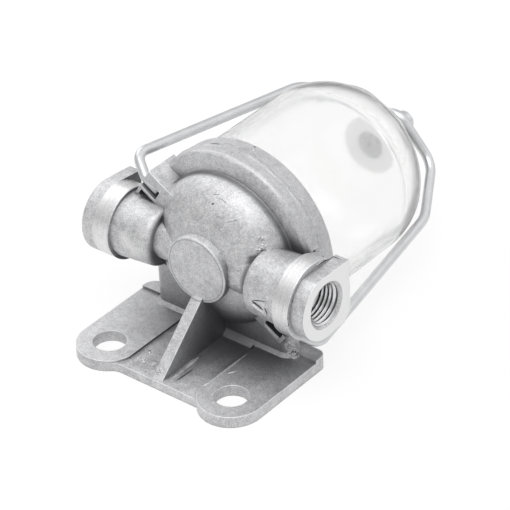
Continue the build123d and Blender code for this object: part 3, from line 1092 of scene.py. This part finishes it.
def lines_on_casting(name, rows, finish):
    """Lays a ridge along each row's pixels, as wide and as high as the row says, in millimetres."""
    corners, faces = [], []
    for pixels, width, height in rows:
        ends = [on_casting(*pixel)[0] for pixel in pixels]
        line = [
            first.lerp(second, step / STEPS_A_RUN)
            for first, second in zip(ends, ends[1:])
            for step in range(STEPS_A_RUN)
        ] + [ends[-1]]
        edge_lift = 0.5 * height if height == GROOVE else EDGE_SUNK
        begin = len(corners)
        for index, spot in enumerate(line):
            ahead = line[min(index + 1, len(line) - 1)] - line[max(index - 1, 0)]
            share = index / (len(line) - 1)
            thick = min(1.0, END_THICKNESS + SWELL * min(share, 1 - share))
            point, normal, _, _ = casting_skin.find_nearest(spot)
            aside = normal.cross(ahead).normalized() * width * thick * MM / 2
            corners.append(point - aside + normal * edge_lift * MM)
            corners.append(point + normal * height * thick * MM)
            corners.append(point + aside + normal * edge_lift * MM)
        faces += [
            tuple(corner + begin for corner in face)
            for face in strip_faces(len(line), 3, closed=False)
        ]
    return make_piece(
        name, corners, faces, finish, "head", smooth=False
    )


# %% Flow arrow
ARROW_LIPS = (
    (((249.0, 298.3), (252.3, 303.9), (257.5, 308.4), (261.8, 311.4), (266.0, 315.6)), 0.6, 0.4),
    (((268.2, 300.4), (265.6, 304.2), (263.8, 307.8)), 0.5, 0.35),
    (((263.4, 308.6), (264.6, 311.8), (266.0, 315.4)), 0.4, 0.3),
    (((249.4, 298.2), (257.5, 298.9), (268.0, 300.6)), 0.4, 0.25),
)
# The grooves are painted shade: flat dark bands inside the arrow's lips
ARROW_GROOVES = (
    (((251.6, 301.0), (254.8, 303.2), (258.6, 306.1), (263.2, 310.4)), 0.75, GROOVE),
    (((264.6, 307.6), (266.0, 311.0), (267.4, 314.6)), 0.5, GROOVE),
    (((252.0, 300.2), (258.0, 300.6), (266.0, 301.8)), 0.3, GROOVE),
)
lines_on_casting("flow_arrow", ARROW_LIPS, crisp_aluminium)
lines_on_casting("flow_arrow_grooves", ARROW_GROOVES, groove_shade)

# %% Knocks, torn edges and scratches
RAISED_LINES = (
    (((196.0, 391.6), (207.4, 383.6), (219.4, 374.8), (233.4, 364.2), (247.4, 353.8)), 0.6, 0.25),
    (((263.6, 323.6), (271.0, 331.8), (277.4, 338.8)), 0.8, 0.15),
    (((171.5, 378.5), (184.0, 368.0), (199.0, 356.8)), 2.0, 0.16),
    (((227.0, 373.4), (232.0, 372.2), (237.0, 370.6)), 0.8, 0.12),
    (((313.0, 249.4), (318.4, 247.4), (324.0, 246.6)), 0.9, 0.3),
    (((316.0, 266.2), (322.0, 261.0), (331.0, 256.4)), 0.5, 0.15),
)
# The dark lines are painted shade, in scratches and along the edges of ledges, smears and the
# flange's flash
DARK_LINES = (
    (((175.2, 381.6), (184.0, 375.6), (193.6, 368.8)), 0.5, GROOVE),
    (((314.0, 267.6), (322.4, 262.2), (333.4, 256.6), (341.0, 259.6)), 0.35, GROOVE),
    (((213.0, 195.2), (216.0, 194.4), (220.0, 194.8)), 0.13, GROOVE),
    (((219.0, 197.6), (223.0, 200.2), (226.6, 203.8)), 0.12, GROOVE),
    (((211.6, 204.4), (214.0, 203.2)), 0.4, GROOVE),
    (((226.0, 222.6), (232.0, 221.4), (239.0, 219.6)), 0.12, GROOVE),
    (((250.4, 349.4), (253.4, 344.6)), 0.9, GROOVE),
    (((312.6, 251.6), (316.0, 250.6)), 0.5, GROOVE),
    (((259.0, 250.8), (263.6, 249.6)), 0.6, GROOVE),
    (((207.0, 144.2), (214.0, 143.5), (221.0, 144.4)), 0.35, GROOVE),
    (((221.0, 144.4), (230.0, 147.0), (240.4, 150.4), (249.0, 155.2)), 0.25, GROOVE),
)
lines_on_casting("casting_lips", RAISED_LINES, crisp_aluminium)
lines_on_casting("casting_scratches", DARK_LINES, groove_shade)

# %% [markdown]
# ## Flash and burrs
#
# Where the halves of the mould met, a little metal crept between them. It left a lip of flash on
# the back edge of the flange, whose edge wanders, and torn lumps where the inlet meets the dome,
# on the lug, on the leg and at the gusset's foot. The lip is a strip round the flange. A lump is
# a round patch of the surface, lifted by noise in its middle and sunk at its rim.

# %% Flash round the flange
FLANGE_R = 32.9 * MM
FLASH_FROM = radians(-36)
FLASH_TO = radians(200)
FLASH_STEPS = 170
# The lip reaches back by so many millimetres, which swing with a slow noise and a finer one
LEAST_REACH = 0.15
MEAN_REACH = 0.9
REACH_SWING = 3.0
TEAR_SHARE = 0.5
LIP_PROUD = 0.35 * MM
MEAN_PROUD = 0.6
PROUD_SWING = 0.8
WANDER_WAVES = 5.0
TEAR_WAVES = 13.0
PROUD_WAVES = 9.0

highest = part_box("head_casting")[1].z
corners = []
for step in range(FLASH_STEPS + 1):
    turned = FLASH_FROM + (FLASH_TO - FLASH_FROM) * step / FLASH_STEPS
    outward = Vector((cos(turned), 0, sin(turned)))
    tear = TEAR_SHARE * noise.noise(outward * TEAR_WAVES)
    wander = noise.noise(outward * WANDER_WAVES) + tear
    reach = max(LEAST_REACH, MEAN_REACH + REACH_SWING * wander) * MM
    proud = LIP_PROUD * (MEAN_PROUD + PROUD_SWING * noise.noise(outward * PROUD_WAVES))
    if outward.z > 0:
        proud = min(proud, (highest - axis_z) / outward.z - FLANGE_R)
    centre = Vector((0, 0, axis_z))
    # The lip's profile, as radius and depth, from its root in front to its root behind
    for radius, y in (
        (FLANGE_R - 0.03 * MM, FLANGE_BACK_Y - 0.9 * MM),
        (FLANGE_R + 0.4 * proud, FLANGE_BACK_Y - 0.3 * MM),
        (FLANGE_R + proud, FLANGE_BACK_Y + 0.85 * reach),
        (FLANGE_R + 0.7 * proud, FLANGE_BACK_Y + reach),
        (FLANGE_R - 0.4 * MM, FLANGE_BACK_Y + reach + 0.05 * MM),
    ):
        corners.append(centre + outward * radius + Vector((0, y, 0)))
make_piece(
    "flange_flash",
    corners,
    strip_faces(FLASH_STEPS + 1, 5, closed=False),
    crisp_aluminium,
    "head",
)

# %% Torn lumps
# Each lump: its pixel, its radius and its height in millimetres
LUMPS = (
    (260.5, 240.0, 1.6, 0.6),
    (262.0, 245.5, 1.6, 0.5),
    (258.5, 249.5, 1.1, 0.3),
    (318.0, 248.5, 1.6, 0.5),
    (290.0, 346.0, 2.0, 0.9),
    (293.0, 351.0, 2.2, 1.0),
    (296.5, 356.0, 1.8, 0.8),
    (158.5, 371.5, 1.6, 0.35),
    (150.5, 352.5, 1.4, 0.25),
    (143.5, 360.5, 1.3, 0.2),
    (154.0, 363.5, 1.2, 0.2),
    (211.5, 295.0, 1.0, 0.2),
    (182.5, 280.0, 1.0, 0.15),
    (254.0, 149.5, 0.8, 0.3),
)
# The lift is a share of a lump's height, and its noise has so many waves in a millimetre
LUMP_RINGS = 9
LUMP_SPOKES = 28
LUMP_HUB = 0.02
LUMP_WAVES = 1.9
MEAN_LIFT = 0.35
LIFT_SWING = 1.3
LOWEST_LIFT = -0.1
RIM_SUNK = 0.03

corners, faces = [], []
for px, py, radius, height in LUMPS:
    middle, normal = on_casting(px, py)
    turn = normal.to_track_quat("Z", "Y").to_matrix()
    begin = len(corners)
    for ring_step in range(LUMP_RINGS + 1):
        share = max(ring_step / LUMP_RINGS, LUMP_HUB)
        for spoke in range(LUMP_SPOKES):
            angle = 2 * pi * spoke / LUMP_SPOKES
            flat = Vector((cos(angle), sin(angle), 0)) * radius * share * MM
            point, skin, _, _ = casting_skin.find_nearest(middle + turn @ flat)
            rough_lift = MEAN_LIFT + LIFT_SWING * noise.noise(point / MM * LUMP_WAVES)
            lift = height * max(rough_lift, LOWEST_LIFT) * (1 - share * share)
            corners.append(point + skin * (lift - RIM_SUNK * share) * MM)
    faces += [
        tuple(corner + begin for corner in face)
        for face in strip_faces(LUMP_RINGS + 1, LUMP_SPOKES, closed=True)
    ]
make_piece(
    "torn_lumps", corners, faces, crisp_aluminium, "head", smooth=False
)

# %% [markdown]
# ## Bail wire
#
# The bail is one drawn steel wire, bent cold round pins. Its CAD solid has the right route, but
# long thin facets that show in a bright metal. So the same route is laid out again here, each
# bend as a run of short steps, and a circle is carried along it. The bend by each hook has a
# radius of 5 mm here and 3.4 mm in the CAD model, because the photograph shows it that wide. The
# route is given in millimetres in the bail's own plane: how far each corner lies out of the
# bowl's axis and how far along it, from the hook to the eye.

# %% The bail's route
BAIL_TURN = radians(32)
PIVOT_Y = 26.4
LEG = ((27.8, PIVOT_Y), (34.4, PIVOT_Y), (42.1, 30.4), (30.8, 100.8), (17.45, 120.6))
LEG_BENDS = [2.6, 5.0, 14.0, 8.0]
EYE_Y = 116.2
EYE_R = 5.5
EYE_STEPS = 6
EYE_BEND = 0.9 * EYE_R
COIL_STEP = 3.55

bail_out = Vector((cos(BAIL_TURN), 0, -sin(BAIL_TURN)))
bail_up = Vector((sin(BAIL_TURN), 0, cos(BAIL_TURN)))


def bail_point(out, along, up=0.0):
    """Gives a point of the bail: out of the axis, along it, and up from the bail's plane."""
    return (
        Vector((0, 0, axis_z))
        + (bail_out * out + bail_up * up + Vector((0, along, 0))) * MM
    )


eye_lead = asin(EYE_R / LEG[-1][0])
eye_wrap = 2 * pi + 2 * eye_lead
eye_corner_r = EYE_R / cos(eye_wrap / EYE_STEPS / 2)
eye = []
for step in range(EYE_STEPS):
    share = (step + 0.5) / EYE_STEPS
    turned = pi / 2 + eye_lead - share * eye_wrap
    rise = COIL_STEP * eye_wrap / (2 * pi) * share
    eye.append(
        bail_point(
            eye_corner_r * cos(turned), EYE_Y + rise, eye_corner_r * sin(turned)
        )
    )
route = [bail_point(-out, along) for out, along in LEG] + eye
route += [bail_point(out, along) for out, along in reversed(LEG)]
bends = LEG_BENDS + [EYE_BEND] * EYE_STEPS + LEG_BENDS[::-1]
print("the bail's route has", len(route), "corners")

# %% Round the bends and sweep the wire
WIRE_R = 1.7 * MM
WIRE_SIDES = 24
BEND_STEP = radians(6)


def rounded(points, radii):
    """Gives the points of a route whose corners are arcs of the given radii in millimetres."""
    line = [points[0]]
    for before, corner, after, radius in zip(points, points[1:], points[2:], radii):
        come, leave = (corner - before).normalized(), (after - corner).normalized()
        turned = come.angle(leave)
        tangent = radius * MM * tan(turned / 2)
        start = corner - come * tangent
        inward = (leave - come * come.dot(leave)).normalized()
        centre = start + inward * radius * MM
        steps = max(2, round(turned / BEND_STEP))
        for step in range(steps + 1):
            angle = turned * step / steps
            line.append(
                centre + (come * sin(angle) - inward * cos(angle)) * radius * MM
            )
    return line + [points[-1]]


def wire(name, line, radius, sides, finish, body):
    """Carries a circle along a line of points, without twisting, and closes both ends flat."""
    ahead = (line[1] - line[0]).normalized()
    side = ahead.orthogonal().normalized()
    corners = []
    for index, point in enumerate(line):
        come = (point - line[max(index - 1, 0)]).normalized() if index else ahead
        leave = (line[index + 1] - point).normalized() if index < len(line) - 1 else come
        new_ahead = (come + leave).normalized()
        side = ahead.rotation_difference(new_ahead) @ side
        ahead = new_ahead
        other = ahead.cross(side)
        for count in range(sides):
            angle = 2 * pi * count / sides
            corners.append(point + (side * cos(angle) + other * sin(angle)) * radius)
    faces = strip_faces(len(line), sides, closed=True)
    last = (len(line) - 1) * sides
    faces += [tuple(range(sides)), tuple(range(last, last + sides))]
    return make_piece(name, corners, faces, finish, body)


bail_line = rounded(route, bends)
drawn_bail = wire(
    "drawn_bail", bail_line, WIRE_R, WIRE_SIDES, zinc_steel, "bail"
)
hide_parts("bail_wire")
bail_length = sum((b - a).length for a, b in zip(bail_line, bail_line[1:]))
print("bail wire is", round(bail_length / MM), "mm long")

# %% [markdown]
# ## The studio
#
# The part lies on a white floor in soft light. The floor takes the part's shadow as matt paint
# does, and glows for the camera and in reflections, so that it stays white. Seen through the
# bowl, the floor and the world are plain white. The world lights the part more from overhead than
# from the horizon, which shades the sides of the metal.

# %% Floor
FLOOR_SIZE = 3.0
FLOOR_GLOW = 0.85
FLOOR_PAINT = "#F6F6F6"

bpy.ops.mesh.primitive_plane_add(size=FLOOR_SIZE)
floor = bpy.context.object
floor.name = "floor"
floor_white, tree, shader = new_finish("white_floor")
shader.inputs["Base Color"].default_value = linear(FLOOR_PAINT)
shader.inputs["Roughness"].default_value = 0.9
shader.inputs["Specular IOR Level"].default_value = 0.0
glow = add(tree, "Emission", {"Color": (1, 1, 1, 1), "Strength": 1.0})
rays = add(tree, "LightPath").node.outputs
seen = add(
    tree,
    "Math",
    {"operation": "MAXIMUM"},
    {0: rays["Is Camera Ray"], 1: rays["Is Glossy Ray"]},
)
share = add(tree, "Math", {"operation": "MULTIPLY", 1: FLOOR_GLOW}, {0: seen})
share = add(
    tree,
    "Math",
    {"operation": "MAXIMUM", "use_clamp": True},
    {0: share, 1: rays["Transmission Depth"]},
)
mixed = add(tree, "MixShader", links={0: share, 1: shader.outputs[0], 2: glow})
tree.links.new(mixed, tree.nodes["Material Output"].inputs["Surface"])
floor.data.materials.append(floor_white)

# %% World
HORIZON_LIGHT = 0.5
ZENITH_LIGHT = 0.95

world = bpy.data.worlds.new("studio")
bpy.context.scene.world = world
world.use_nodes = True
tree = world.node_tree
rays = add(tree, "LightPath").node.outputs
seen = add(
    tree,
    "Math",
    {"operation": "MAXIMUM", "use_clamp": True},
    {0: rays["Is Camera Ray"], 1: rays["Transmission Depth"]},
)
direction = add(tree, "TexCoord", out="Generated")
parts = add(tree, "SeparateXYZ", links={"Vector": direction}).node.outputs
rise = add(
    tree,
    "MapRange",
    {"To Min": HORIZON_LIGHT, "To Max": ZENITH_LIGHT},
    {"Value": parts["Z"]},
)
level = add(tree, "Mix", {"data_type": "FLOAT", 3: 1.0}, {"Factor": seen, 2: rise})
background = tree.nodes["Background"]
background.inputs["Color"].default_value = (1, 1, 1, 1)
tree.links.new(level, background.inputs["Strength"])
print("sky light from", HORIZON_LIGHT, "to", ZENITH_LIGHT)

# %% Lamps
AIM_POINT = Vector((0, 40, 25)) * MM


def softbox(name, place, size, power):
    """Adds a square area lamp that faces the part; size is in metres and power in watts."""
    lamp = bpy.data.lights.new(name, "AREA")
    lamp.size = size
    lamp.energy = power
    holder = bpy.data.objects.new(name, lamp)
    holder.location = place
    holder.rotation_mode = "QUATERNION"
    holder.rotation_quaternion = (AIM_POINT - place).to_track_quat("-Z", "Y")
    bpy.context.scene.collection.objects.link(holder)
    print(name, "softbox is", size, "m wide, with", power, "W")


softbox("key", Vector((0.15, -0.3, 1.0)), 0.8, 5.0)
softbox("fill", Vector((-0.8, 0.3, 0.6)), 0.6, 2.0)
softbox("rim", Vector((0.9, 1.1, 0.9)), 1.8, 4.0)

# %% Colour management
bpy.context.scene.view_settings.view_transform = "Standard"
